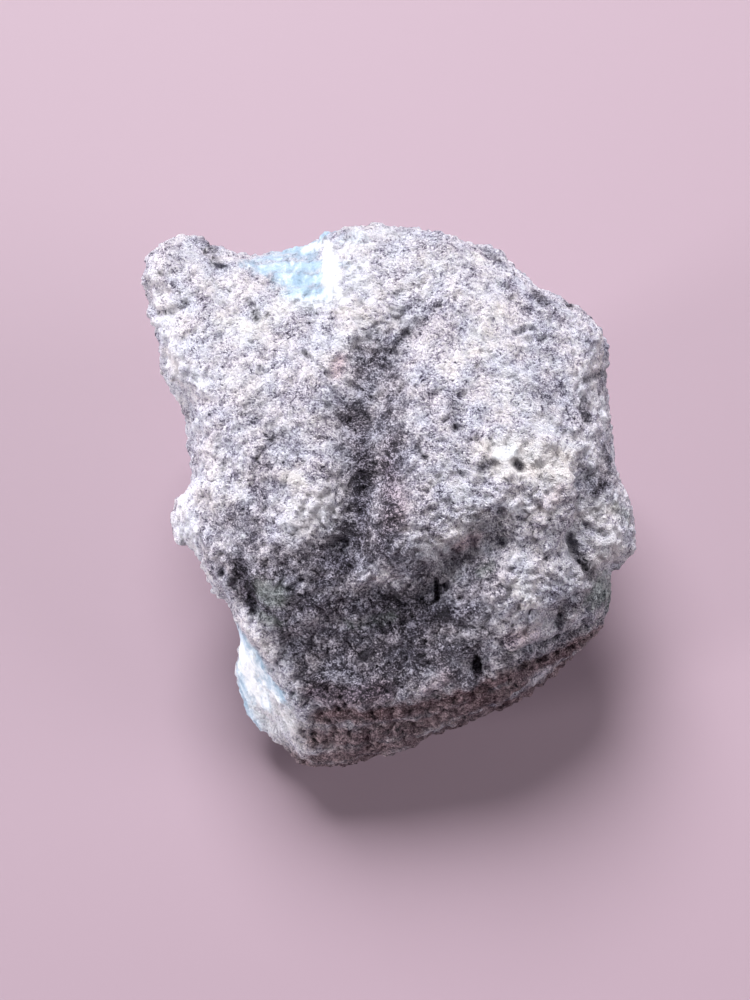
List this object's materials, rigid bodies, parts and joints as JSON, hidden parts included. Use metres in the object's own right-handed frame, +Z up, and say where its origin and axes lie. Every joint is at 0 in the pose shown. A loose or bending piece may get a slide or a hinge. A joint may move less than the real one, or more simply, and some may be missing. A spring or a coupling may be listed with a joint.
{
  "type": "rough larimar stone",
  "caption": "Broken lump of rough blue pectolite in a grey sugary crust, with a corner knob, a furrowed broad face and a flat to rest on.",
  "frame": {"origin": "on the ground, under the middle of the stone's box", "axes": "+Z up from the flat the stone rests on; +Y towards the raised end with the corner knob; +X to the right of someone facing +Y"},
  "size_m": [0.0534, 0.0562, 0.0349],
  "materials": {
    "larimar_crust": "dry, fine sugary grain of white and violet grey, with pale yellow and dark green stains and two blue and white patches"
  },
  "bodies": {
    "root": {"larimar_stone": "larimar_crust"}
  },
  "joints": []
}
